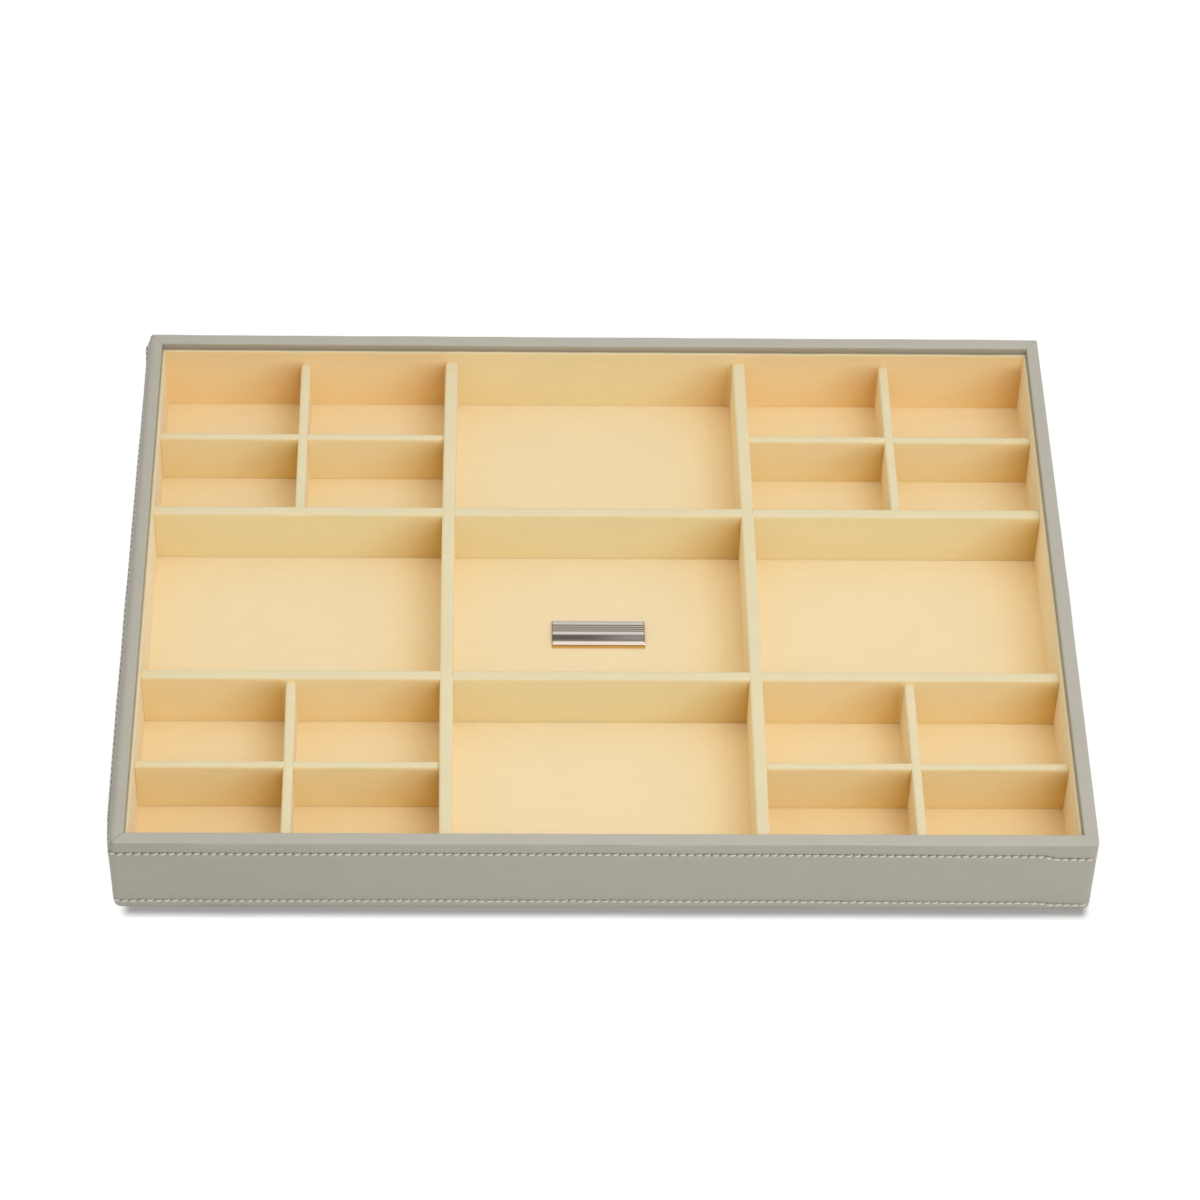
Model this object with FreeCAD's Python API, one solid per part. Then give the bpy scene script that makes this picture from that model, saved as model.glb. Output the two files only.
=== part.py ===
import FreeCAD, Part
import os
from FreeCAD import Vector

# A lined jewelry tray. X runs left to right, Y front to back and Z up, in millimetres.
# The origin is the middle of the underside.

# Case: fibreboard walls and base in a leather-look covering
tray_length = 345.2
tray_depth = 255.4
case_height = 35.6            # covered case, from its underside to the rim's top
wall_thickness = 3.8
base_thickness = 2.4
rabbet_depth = 1.75           # how far the base and the side walls are let into the walls
cover_thickness = 0.6
corner_radius = 2.6           # upright outside corners of the covered case
rim_radius = 1.0              # outer top edge of the covered rim
rim_inner_radius = 0.8        # inner top edge of the covered rim
foot_radius = 1.0             # outer bottom edge of the covered case
mitre_gap = 0.1               # slit in the covering at each rim corner
turn_in_width = 12.0          # covering turned under the base, from the outside face

# Felt on the underside
felt_thickness = 0.5
felt_inset = 6.0              # from the case's outside face
felt_corner_radius = 3.0

# Rows of stitching round the outside
stitch_height = 0.7           # width of the thread line, up the face
stitch_depth = 0.3            # how deep it is sunk into the covering
upper_stitch_drop = 5.8       # middle of the thread line, below the rim's top
lower_stitch_rise = 4.0       # middle of the thread line, above the case's underside

# Brads through the corners
brads_per_corner = 2
brad_diameter = 1.0
brad_length = 14.0
brad_head_diameter = 1.8
brad_head_height = 0.5

# Lining: card covered with suede
card_thickness = 0.6
suede_thickness = 0.4
suede_edge_radius = 0.35      # top inner edge of the wall lining
lining_drop = 3.3             # top edge of the wall lining, below the rim's top

# Dividers: cores in suede wraps, three cells each way, each corner cell divided again by thin ones
cell_count = 3                # main cells along each side
main_thickness = 4.2          # wrapped
main_height = 23.2            # above the floor's suede
thin_thickness = 3.0          # wrapped
thin_height = 21.3            # above the floor's suede
divider_edge_radius = 0.6     # top edges of the wraps
edge_radius_limit = 0.45      # largest such rounding, as a share of the wrapped thickness
lap_clearance = 0.1           # each side of a half-lap

# Nameplate in the middle cell
plate_length = 34.5
plate_width = 11.4
plate_thickness = 1.4
plate_bevel = 0.3
plate_border = 0.9            # plain edge round the reeded face
groove_count = 6
groove_depth = 0.15
pin_diameter = 1.2
pin_spacing = 24.0
pin_grip = 1.2                # length of each pin in the base board

# Places that follow from the sizes above
rim_width = wall_thickness + 2 * cover_thickness
lining_thickness = card_thickness + suede_thickness
boards_bottom = felt_thickness + cover_thickness
base_top = boards_bottom + base_thickness
card_top = base_top + card_thickness
floor_top = card_top + suede_thickness
rim_top = felt_thickness + case_height
lining_top = rim_top - lining_drop

pocket_length = tray_length - 2 * rim_width
pocket_depth = tray_depth - 2 * rim_width
inside_length = pocket_length - 2 * lining_thickness
inside_depth = pocket_depth - 2 * lining_thickness
walls_between = cell_count - 1
cell_length = (inside_length - walls_between * main_thickness) / cell_count
cell_depth = (inside_depth - walls_between * main_thickness) / cell_count
long_divider_x = (cell_length + main_thickness) / 2
cross_divider_y = (cell_depth + main_thickness) / 2
corner_cell_x = cell_length + main_thickness
corner_cell_y = cell_depth + main_thickness

# Cuts reach this far past a face so that they break through it
past = 1.0
# Places closer than this count as the same
same_place = 1e-4


def block(x_size, y_size, low, high, x=0.0, y=0.0):
    """An upright block round the point (x, y), between two heights."""
    return Part.makeBox(x_size, y_size, high - low, Vector(x - x_size / 2, y - y_size / 2, low))


def upright_edges(shape):
    """The edges that stand straight up."""
    found = []
    for edge in shape.Edges:
        span = edge.Vertexes[-1].Point - edge.Vertexes[0].Point
        if abs(span.x) < same_place and abs(span.y) < same_place and abs(span.z) > same_place:
            found.append(edge)
    return found


def level_edges(shape, height, x_reach, y_reach):
    """The edges at one height that lie within the given distances of the middle."""
    found = []
    for edge in shape.Edges:
        points = [vertex.Point for vertex in edge.Vertexes]
        at_height = all(abs(point.z - height) < same_place for point in points)
        in_reach = all(abs(p.x) < x_reach + same_place and abs(p.y) < y_reach + same_place for p in points)
        if at_height and in_reach:
            found.append(edge)
    return found


def rounded(shape, radius, edges):
    """The shape with these edges rounded. An edge under a skin as thick as the radius stays sharp."""
    return shape.makeFillet(radius, edges) if radius > same_place else shape


def upright_prism(inset, low, high):
    """The case's plan outline, moved in by inset, with its rounded upright corners."""
    prism = block(tray_length - 2 * inset, tray_depth - 2 * inset, low, high)
    return rounded(prism, corner_radius - inset, upright_edges(prism))


def open_case(inset, low):
    """The case's outside, moved in by inset, with its middle cut away and its level edges rounded."""
    top = rim_top - inset
    reach_x = tray_length / 2 - rim_width + inset
    reach_y = tray_depth / 2 - rim_width + inset
    case = upright_prism(inset, low, top)
    case = rounded(case, rim_radius - inset, level_edges(case, top, tray_length, tray_depth))
    case = rounded(case, foot_radius - inset, level_edges(case, low, tray_length, tray_depth))
    case = case.cut(block(2 * reach_x, 2 * reach_y, base_top, top + past))
    return rounded(case, rim_inner_radius - inset, level_edges(case, top, reach_x, reach_y))


def base_board():
    """The base, as large as the rabbets in the walls let it be."""
    reach = 2 * (cover_thickness + wall_thickness - rabbet_depth)
    return block(tray_length - reach, tray_depth - reach, boards_bottom, base_top)


def wall_boards():
    """The four walls. The ends of the side walls are let into the front and back walls."""
    ring = open_case(cover_thickness, boards_bottom).cut(base_board())
    inner_depth = tray_depth - 2 * (cover_thickness + wall_thickness)
    side_x = (tray_length - wall_thickness) / 2 - cover_thickness
    side_length = inner_depth + 2 * rabbet_depth
    boards = {}
    for name, sign in (("left", -1), ("right", 1)):
        slab = block(wall_thickness, side_length, 0, rim_top, x=sign * side_x)
        boards[name] = ring.common(slab)
        ring = ring.cut(slab)
    for name, sign in (("front", -1), ("back", 1)):
        half = block(tray_length, tray_depth / 2, 0, rim_top, y=sign * tray_depth / 4)
        boards[name] = ring.common(half)
    return boards


def brad(x, height, sign):
    """A headed brad driven along Y into a corner, its head level with the wall's outside face."""
    face = Vector(x, sign * (tray_depth / 2 - cover_thickness), height)
    inwards = Vector(0, -sign, 0)
    shank = Part.makeCylinder(brad_diameter / 2, brad_length, face, inwards)
    head = Part.makeCylinder(brad_head_diameter / 2, brad_head_height, face, inwards)
    return shank.fuse(head).removeSplitter()


def corner_brads():
    """Brads at even heights into the side walls' ends, their heads clear of the rounded corners."""
    from_face = max(wall_thickness / 2, corner_radius - cover_thickness + brad_head_diameter / 2)
    brad_x = tray_length / 2 - cover_thickness - from_face
    step = (rim_top - cover_thickness - boards_bottom) / (brads_per_corner + 1)
    heights = [boards_bottom + step * (index + 1) for index in range(brads_per_corner)]
    brads = [brad(sx * brad_x, height, sy) for sx in (-1, 1) for sy in (-1, 1) for height in heights]
    return Part.makeCompound(brads)


def stitching(height):
    """One row of thread, level with the covering's outside, round all four sides."""
    low, high = height - stitch_height / 2, height + stitch_height / 2
    return upright_prism(0, low, high).cut(upright_prism(stitch_depth, low - past, high + past))


def mitre_slit(x_sign, y_sign, low, high):
    """A thin upright cut along a corner's diagonal, from the pocket to the rounding's middle."""
    start = Vector(x_sign * (pocket_length / 2 - past), y_sign * (pocket_depth / 2 - past), low)
    end = Vector(x_sign * (tray_length / 2 - corner_radius), y_sign * (tray_depth / 2 - corner_radius), low)
    along = end - start
    side = Vector(-along.y, along.x, 0).normalize() * (mitre_gap / 2)
    outline = Part.makePolygon([start - side, end - side, end + side, start + side, start - side])
    return Part.Face(outline).extrude(Vector(0, 0, high - low))


def case_cover(boards, threads):
    """The covering: the covered case less the boards, the base's window, the thread lines and the slits."""
    cover = open_case(0, felt_thickness)
    window = block(tray_length - 2 * turn_in_width, tray_depth - 2 * turn_in_width, 0, boards_bottom)
    slits = [mitre_slit(x, y, felt_thickness - past, rim_top + past) for x in (-1, 1) for y in (-1, 1)]
    return cover.cut(boards + [base_board(), window] + threads + slits).removeSplitter()


def base_filler():
    """Card as thick as the covering, between its turned-in edges."""
    window_x, window_y = tray_length - 2 * turn_in_width, tray_depth - 2 * turn_in_width
    return block(window_x, window_y, felt_thickness, boards_bottom)


def base_felt():
    """The felt that the tray rests on, with rounded corners."""
    felt = block(tray_length - 2 * felt_inset, tray_depth - 2 * felt_inset, 0, felt_thickness)
    return rounded(felt, felt_corner_radius, upright_edges(felt))


def nameplate():
    """A bevelled plate with a reeded face and two pins, centred on the tray."""
    top = floor_top + plate_thickness
    plate = block(plate_length, plate_width, floor_top, top)
    plate = plate.makeChamfer(plate_bevel, level_edges(plate, top, plate_length, plate_width))
    face_length = plate_length - 2 * (plate_bevel + plate_border)
    pitch = (plate_width - 2 * (plate_bevel + plate_border)) / groove_count
    for index in range(groove_count):
        y = (index - (groove_count - 1) / 2) * pitch
        plate = plate.cut(block(face_length, pitch / 2, top - groove_depth, top + past, y=y))
    pin_length = suede_thickness + card_thickness + pin_grip
    for sign in (-1, 1):
        foot = Vector(sign * pin_spacing / 2, 0, floor_top - pin_length)
        plate = plate.fuse(Part.makeCylinder(pin_diameter / 2, pin_length, foot))
    return plate.removeSplitter()


def lining(length, x, y, turn):
    """A wall's lining panel, made along X with its back at y = 0, then turned and set in place.

    The card stands on the floor's suede. The suede covers its inner face and folds over its top edge.
    """
    card = block(length, card_thickness, floor_top, lining_top - suede_thickness, y=card_thickness / 2)
    suede = block(length, lining_thickness, floor_top, lining_top, y=lining_thickness / 2)
    inner_top = [e for e in level_edges(suede, lining_top, length, lining_thickness)
                 if all(abs(v.Point.y - lining_thickness) < same_place for v in e.Vertexes)]
    suede = rounded(suede, min(suede_edge_radius, lining_thickness / 2), inner_top).cut(card)
    for panel in (card, suede):
        panel.rotate(Vector(0, 0, 0), Vector(0, 0, 1), turn)
        panel.translate(Vector(x, y, 0))
    return card, suede


def lining_panels():
    """Four lining panels. Those at the sides stand between those at the front and back."""
    x, y = pocket_length / 2, pocket_depth / 2
    return {
        "front": lining(pocket_length, 0, -y, 0),
        "back": lining(pocket_length, 0, y, 180),
        "left": lining(inside_depth, -x, 0, -90),
        "right": lining(inside_depth, x, 0, 90),
    }


def divider(length, thickness, height, crossings, slotted_from_top):
    """A divider along X at the origin: its core and its suede wrap, open below, with its half-lap slots."""
    top = floor_top + height
    radius = min(divider_edge_radius, edge_radius_limit * thickness)
    wrap = block(length, thickness, floor_top, top)
    core = block(length, thickness - 2 * suede_thickness, floor_top, top - suede_thickness)
    wrap = rounded(wrap, radius, long_top_edges(wrap, top, length))
    core_edges = long_top_edges(core, top - suede_thickness, length)
    core = rounded(core, radius - suede_thickness, core_edges)
    wrap = wrap.cut(core)
    lap_level = floor_top + height / 2
    slot_low = lap_level if slotted_from_top else floor_top - past
    slot_high = top + past if slotted_from_top else lap_level
    slot_width = thickness + 2 * lap_clearance
    for place in crossings:
        slot = block(slot_width, thickness + 2 * past, slot_low, slot_high, x=place)
        core = core.cut(slot)
        wrap = wrap.cut(slot)
    return core, wrap


def long_top_edges(board, height, length):
    """The two top edges that run the length of a board."""
    top_edges = level_edges(board, height, length, length)
    return [edge for edge in top_edges if abs(edge.Length - length) < same_place]


def long_divider(length, thickness, height, crossings, x, y):
    """A divider that runs front to back, slotted from below."""
    pieces = divider(length, thickness, height, crossings, slotted_from_top=False)
    for piece in pieces:
        piece.rotate(Vector(0, 0, 0), Vector(0, 0, 1), 90)
        piece.translate(Vector(x, y, 0))
    return pieces


def cross_divider(length, thickness, height, crossings, x, y):
    """A divider that runs left to right, slotted from above."""
    pieces = divider(length, thickness, height, crossings, slotted_from_top=True)
    for piece in pieces:
        piece.translate(Vector(x, y, 0))
    return pieces


def all_dividers():
    """The four main dividers, then a thin, slightly lower pair in each corner cell."""
    made = {}
    for side, sign in (("left", -1), ("right", 1)):
        crossings = (-cross_divider_y, cross_divider_y)
        made[side + "_long_divider"] = long_divider(
            inside_depth, main_thickness, main_height, crossings, sign * long_divider_x, 0)
    for end, sign in (("front", -1), ("back", 1)):
        crossings = (-long_divider_x, long_divider_x)
        made[end + "_cross_divider"] = cross_divider(
            inside_length, main_thickness, main_height, crossings, 0, sign * cross_divider_y)
    for end, y_sign in (("front", -1), ("back", 1)):
        for side, x_sign in (("left", -1), ("right", 1)):
            name = end + "_" + side + "_thin_"
            x, y = x_sign * corner_cell_x, y_sign * corner_cell_y
            made[name + "long"] = long_divider(cell_depth, thin_thickness, thin_height, (0,), x, y)
            made[name + "cross"] = cross_divider(cell_length, thin_thickness, thin_height, (0,), x, y)
    return made


# Everything in its place
parts = {}

walls = wall_boards()
brads = corner_brads()
plate = nameplate()
upper_thread = stitching(rim_top - upper_stitch_drop)
lower_thread = stitching(felt_thickness + lower_stitch_rise)

parts["base_board"] = base_board().cut(plate)
for side, board in walls.items():
    parts[side + "_board"] = board.cut(brads)
parts["corner_brads"] = brads
parts["case_cover"] = case_cover(list(walls.values()), [upper_thread, lower_thread])
parts["upper_stitching"] = upper_thread
parts["lower_stitching"] = lower_thread
parts["base_filler"] = base_filler()
parts["base_felt"] = base_felt()
parts["floor_card"] = block(pocket_length, pocket_depth, base_top, card_top).cut(plate)
parts["floor_suede"] = block(pocket_length, pocket_depth, card_top, floor_top).cut(plate)
for side, (card, suede) in lining_panels().items():
    parts[side + "_lining_card"] = card
    parts[side + "_lining_suede"] = suede
for name, (core, wrap) in all_dividers().items():
    parts[name + "_core"] = core
    parts[name + "_wrap"] = wrap
parts["nameplate"] = plate

os.makedirs("parts", exist_ok=True)
for name, shape in parts.items():
    shape.exportStep("parts/" + name + ".step")
    state = "valid" if shape.isValid() else "NOT VALID"
    print(name, len(shape.Solids), "solids", round(shape.Volume, 1), "mm3", state)
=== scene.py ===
# %% [markdown]
# # A suede-lined jewelry tray
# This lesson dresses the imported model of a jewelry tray. The hidden boards, cards and brads keep their
# solids and get a finish. What the eye sees is made again as surfaces worked out with numpy: the leather
# covering, its stitches, the suede linings, the wrapped dividers, the floor and the metal plate. Places and
# main sizes come from the frame, in metres, so a new piece lies where its solid lies.

# %% Load the frame
import math

import bpy
import numpy as np
from mathutils import Matrix, Vector


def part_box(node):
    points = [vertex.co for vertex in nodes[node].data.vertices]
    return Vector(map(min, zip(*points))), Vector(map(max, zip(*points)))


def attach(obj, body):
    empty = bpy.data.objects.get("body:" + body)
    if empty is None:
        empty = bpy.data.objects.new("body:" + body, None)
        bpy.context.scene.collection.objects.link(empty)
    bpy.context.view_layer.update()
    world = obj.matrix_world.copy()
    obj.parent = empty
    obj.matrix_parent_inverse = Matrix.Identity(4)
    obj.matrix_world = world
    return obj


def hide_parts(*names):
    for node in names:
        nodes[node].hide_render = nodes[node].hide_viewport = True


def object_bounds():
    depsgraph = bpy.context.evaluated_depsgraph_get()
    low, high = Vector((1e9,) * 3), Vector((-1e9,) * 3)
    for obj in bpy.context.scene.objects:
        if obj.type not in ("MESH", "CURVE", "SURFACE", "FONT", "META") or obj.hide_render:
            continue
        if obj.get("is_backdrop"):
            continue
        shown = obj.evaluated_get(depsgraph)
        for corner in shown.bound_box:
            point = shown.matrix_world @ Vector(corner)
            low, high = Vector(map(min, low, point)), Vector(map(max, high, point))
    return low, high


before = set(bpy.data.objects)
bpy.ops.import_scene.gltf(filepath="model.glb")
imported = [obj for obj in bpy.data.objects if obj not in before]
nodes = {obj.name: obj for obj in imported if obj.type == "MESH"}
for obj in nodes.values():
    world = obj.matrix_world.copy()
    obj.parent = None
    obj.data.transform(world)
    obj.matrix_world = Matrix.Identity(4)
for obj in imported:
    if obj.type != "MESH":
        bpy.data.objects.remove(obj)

cad_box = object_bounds()
scene = bpy.context.scene
scene.view_settings.view_transform = "Standard"
mm = 0.001
print("frame:", len(nodes), "nodes, box", [round(v / mm, 1) for v in cad_box[1] - cad_box[0]], "mm")

# %% [markdown]
# ## Camera
# The picture was taken with a long lens from above the front edge. Where the tray's corners and dividers
# fall in the picture gives the lens, the angles and the distance. A camera could be aimed by a Track To
# constraint, but three unit vectors, right, up and back, say the same thing with nothing left to solve.

# %% Camera
picture_width = 1200            # pixels
focal_length = 4270.6           # pixels
sensor_width = 36.0             # millimetres
camera_distance = 1564.4 * mm
camera_height_angle = math.radians(47.11)
camera_turn = math.radians(-2.23)
camera_roll = math.radians(1.89)
aim_x, aim_y = -0.25 * mm, -11.80 * mm
cover_low, cover_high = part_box("case_cover")
aim = Vector((aim_x, aim_y, cover_high.z))

level_reach = math.cos(camera_height_angle)
camera_back = Vector((math.sin(camera_turn) * level_reach,
                      -math.cos(camera_turn) * level_reach,
                      math.sin(camera_height_angle)))
level_right = Vector((math.cos(camera_turn), math.sin(camera_turn), 0))
level_up = camera_back.cross(level_right)
camera_right = math.cos(camera_roll) * level_right + math.sin(camera_roll) * level_up
camera_up = math.cos(camera_roll) * level_up - math.sin(camera_roll) * level_right

camera_data = bpy.data.cameras.new("camera")
camera_data.sensor_width = sensor_width
camera_data.lens = focal_length * sensor_width / picture_width
camera = bpy.data.objects.new("camera", camera_data)
turn = Matrix((camera_right, camera_up, camera_back)).transposed().to_4x4()
camera.matrix_world = Matrix.Translation(aim + camera_back * camera_distance) @ turn
scene.collection.objects.link(camera)
scene.camera = camera
camera_place = [round(v, 3) for v in camera.matrix_world.translation]
print("camera: lens", round(camera_data.lens, 1), "mm at", camera_place)

# %% [markdown]
# ## Light and floor
# Soft light from all round comes from the world. One large lamp, above the tray and a little to the front
# right, gives the light its direction: it leaves some shade at the right end of each cell, where painted
# shade adds more. The floor is white. To the camera it is mostly plain white, with the lamp's shadow kept
# faint and a painted contact shadow, only along the front of the tray, where something nearly touches the
# floor, as an
# Ambient Occlusion node measures it.

# %% Shader wires
class Wire:
    """A socket of a node tree. Sums, products and powers of wires add Math nodes."""

    def __init__(self, tree, socket=None):
        self.tree = tree
        self.socket = socket

    def node(self, kind, settings=None, inputs=None, output=0):
        """Adds a node: its settings first, then its sockets, each a value or a wire.

        Returns one of its outputs, if it has any.
        """
        made = self.tree.nodes.new(kind)
        for name, value in (settings or {}).items():
            setattr(made, name, value)
        for name, value in (inputs or {}).items():
            if isinstance(value, Wire):
                self.tree.links.new(value.socket, made.inputs[name])
            else:
                made.inputs[name].default_value = value
        return Wire(self.tree, made.outputs[output] if made.outputs else None)

    def math(self, operation, first, second):
        """A Math node on two values or wires."""
        return self.node("ShaderNodeMath", {"operation": operation}, {0: first, 1: second})

    def __add__(self, other):
        return self.math("ADD", self, other)

    def __radd__(self, other):
        return self.math("ADD", other, self)

    def __sub__(self, other):
        return self.math("SUBTRACT", self, other)

    def __rsub__(self, other):
        return self.math("SUBTRACT", other, self)

    def __mul__(self, other):
        return self.math("MULTIPLY", self, other)

    def __rmul__(self, other):
        return self.math("MULTIPLY", other, self)

    def __pow__(self, other):
        return self.math("POWER", self, other)


def blend(share, first, second):
    """The first colour where share is 0, the second where it is 1."""
    mixed = {"data_type": "RGBA"}
    return share.node("ShaderNodeMix", mixed, {0: share, 6: first, 7: second}, output=2)


def colour(red, green, blue):
    """A colour as the picture shows it, from 0 to 255, as the shader's linear values."""
    share = np.array([red, green, blue]) / 255
    linear = np.where(share > 0.04045, ((share + 0.055) / 1.055) ** 2.4, share / 12.92)
    return (*linear.tolist(), 1.0)


def seen_directly(tree):
    """1 for rays from the camera, from a mirror or through glass, 0 for the light that falls on things."""
    path = Wire(tree).node("ShaderNodeLightPath")
    rays = path.socket.node.outputs
    seen = Wire(tree, rays["Is Camera Ray"])
    for name in ("Is Glossy Ray", "Is Transmission Ray"):
        seen = seen.math("MAXIMUM", seen, Wire(tree, rays[name]))
    return seen


# %% World
ambient_level = 0.705
white = (1.0, 1.0, 1.0, 1.0)

world = bpy.data.worlds.new("studio")
world.use_nodes = True
world.node_tree.nodes.clear()
seen = seen_directly(world.node_tree)
soft_light, backdrop = (seen.node("ShaderNodeBackground", None, {"Color": white, "Strength": level})
                        for level in (ambient_level, 1.0))
background = seen.node("ShaderNodeMixShader", None, {0: seen, 1: soft_light, 2: backdrop})
seen.node("ShaderNodeOutputWorld", None, {"Surface": background})
scene.world = world
print("world: soft light", ambient_level)

# %% Lamp
lamp_direction = Vector((0.28, -0.46, 0.81)).normalized()
lamp_distance = 1.6             # metres, as its size is
lamp_size = 1.0
lamp_level = 0.285              # share of a white surface's brightness, facing the lamp

lamp_data = bpy.data.lights.new("key_lamp", "AREA")
lamp_data.shape = "DISK"
lamp_data.size = lamp_size
lamp_data.energy = lamp_level * math.pi ** 2 * lamp_distance ** 2
lamp = bpy.data.objects.new("key_lamp", lamp_data)
lamp.matrix_world = (Matrix.Translation(lamp_direction * lamp_distance)
                     @ lamp_direction.to_track_quat("Z", "Y").to_matrix().to_4x4())
scene.collection.objects.link(lamp)
print("lamp:", round(lamp_data.energy, 1), "W at", [round(v, 2) for v in lamp.matrix_world.translation])

# %% Floor
floor_half = 3.0
floor_grey = (0.55, 0.55, 0.55, 1.0)    # under the light that falls on things
paper_level = 1.08              # brightness to the camera
real_shadow_share = 0.10
contact_reach = 4.9 * mm        # how near something must be to darken the floor
contact_samples = 16
contact_power = 3.5
contact_least = 0.27            # brightness right under the front edge
contact_tint = (0.06, 0.052, 0.035, 1.0)
front_fade = (7.0 * mm, 1.5 * mm)       # where the dark line starts behind the front face, and is full
left_fade = (1.0 * mm, 6.0 * mm)        # the same from the left end
right_fade = (1.0 * mm, -3.0 * mm)      # and from the right end

floor_mesh = bpy.data.meshes.new("studio_floor")
floor_corners = [(-floor_half, -floor_half, 0), (floor_half, -floor_half, 0),
                 (floor_half, floor_half, 0), (-floor_half, floor_half, 0)]
floor_mesh.from_pydata(floor_corners, [], [(0, 1, 2, 3)])
studio_floor = bpy.data.objects.new("studio_floor", floor_mesh)
scene.collection.objects.link(studio_floor)
studio_floor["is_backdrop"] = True

floor_paint = bpy.data.materials.new("floor_paint")
floor_paint.use_nodes = True
floor_paint.node_tree.nodes.clear()
seen = seen_directly(floor_paint.node_tree)
open_sky = seen.node("ShaderNodeAmbientOcclusion", {"samples": contact_samples},
                     {"Distance": contact_reach}, output=1)
place = seen.node("ShaderNodeTexCoord", None, None, output=3)
across, depth = (seen.node("ShaderNodeSeparateXYZ", None, {"Vector": place}, output=axis)
                 for axis in (0, 1))


def fade_in(value, edge, none, all_of_it):
    """0 at one distance past an edge, 1 at another, with a smooth step between them."""
    return seen.node("ShaderNodeMapRange", {"interpolation_type": "SMOOTHSTEP"},
                     {"Value": value, "From Min": edge + none, "From Max": edge + all_of_it})


# Painted contact shadow: the floor's white is darkened by the Ambient Occlusion, only in front of the tray
# and between its ends.
in_front = fade_in(depth, cover_low.y, *front_fade)
between_ends = fade_in(across, cover_low.x, *left_fade) * fade_in(across, cover_high.x, *right_fade)
darkest = seen.math("MAXIMUM", open_sky ** contact_power, contact_least)
contact = 1 - (1 - darkest) * in_front * between_ends
paper_colour = blend(contact, contact_tint, white)
paper = seen.node("ShaderNodeEmission", None, {"Color": paper_colour, "Strength": paper_level})
paint = seen.node("ShaderNodeBsdfDiffuse", None, {"Color": floor_grey})
look = seen.node("ShaderNodeMixShader", None, {0: real_shadow_share, 1: paper, 2: paint})
surface = seen.node("ShaderNodeMixShader", None, {0: seen, 1: paint, 2: look})
seen.node("ShaderNodeOutputMaterial", None, {"Surface": surface})
floor_mesh.materials.append(floor_paint)
print("floor:", 2 * floor_half, "m square")

# %% [markdown]
# ## Finishes
# Each finish starts from the photographed colour and adds what the real material shows at its own scale:
# the leather's fine grain, the suede's brushed nap, the felt's fibres. Attributes add painted shade and
# light:
# dark needle holes and creases on the leather, bounce and shade on the suede, reflections on the plate. The
# patterns read Object coordinates, which are metres here, so a scale is one over the size of a feature.

# %% Finish helpers
def finish(name, **constants):
    """A material with a Principled shader whose constants are set on its own sockets."""
    material = bpy.data.materials.new(name)
    material.use_nodes = True
    shader = material.node_tree.nodes["Principled BSDF"]
    for socket, value in constants.items():
        shader.inputs[socket.replace("_", " ")].default_value = value
    return material, shader, Wire(material.node_tree)


def place_of(wire, stretch=(1.0, 1.0, 1.0)):
    """Object coordinates, stretched along the axes."""
    place = wire.node("ShaderNodeTexCoord", None, None, output=3)
    return wire.node("ShaderNodeMapping", {"vector_type": "POINT"}, {"Vector": place, "Scale": stretch})


def noise(wire, place, feature, detail=3.0, roughness=0.55):
    """Cloudy noise from 0 to 1 whose lumps are about one feature wide."""
    values = {"Vector": place, "Scale": 1 / feature, "Detail": detail, "Roughness": roughness}
    return wire.node("ShaderNodeTexNoise", None, values)


def stored(wire, name):
    """The number that a mesh stores for each of its points under a name."""
    return wire.node("ShaderNodeAttribute", {"attribute_name": name}, None, output=2)


def bump(wire, shader, height, depth, strength=1.0):
    """Feeds a height from 0 to 1, depth metres deep, to the shader's normal."""
    normal = wire.node("ShaderNodeBump", None, {"Height": height, "Distance": depth, "Strength": strength})
    feed(normal, shader, "Normal")


def feed(wire, shader, socket):
    """Links a wire to one of the shader's sockets."""
    wire.tree.links.new(wire.socket, shader.inputs[socket])


# %% Leather and thread
def leather_finish():
    """Warm grey coated leather: a fine pebbled grain, faint clouds, and painted shade from an attribute, in
    creases, grooves, needle holes and along some edges.
    """
    material, shader, wire = finish("leather", Roughness=0.5, IOR=1.45)
    place = place_of(wire)
    clouds = noise(wire, place, 14 * mm)
    pebbles = wire.node("ShaderNodeTexVoronoi", {"feature": "SMOOTH_F1"},
                        {"Vector": place, "Scale": 1 / (0.55 * mm), "Smoothness": 0.6})
    pores = noise(wire, place, 0.22 * mm, detail=2.0)
    tone = blend(clouds, colour(186, 182, 168), colour(194, 190, 176))
    tone = blend(pebbles * 0.12, tone, colour(160, 156, 143))
    tone = blend(stored(wire, "painted_shade"), tone, colour(108, 94, 80))
    feed(tone, shader, "Base Color")
    feed(0.42 + 0.16 * pores, shader, "Roughness")
    bump(wire, shader, pebbles * 0.7 + pores * 0.3, 0.05 * mm, 0.35)
    return material


def thread_finish():
    """Pale waxed thread with fine fibres along it."""
    material, shader, wire = finish("thread", Roughness=0.6, Sheen_Weight=0.2)
    fibres = noise(wire, place_of(wire), 0.14 * mm, detail=2.0)
    feed(blend(fibres, colour(214, 206, 192), colour(248, 242, 231)), shader, "Base Color")
    bump(wire, shader, fibres, 0.06 * mm, 0.6)
    return material


# %% Suede and felt
# The tone of a top edge as it looks under the light from above: the sides' tones differ from it by painted
# light.
suede_fold = colour(237, 224, 184)


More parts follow.
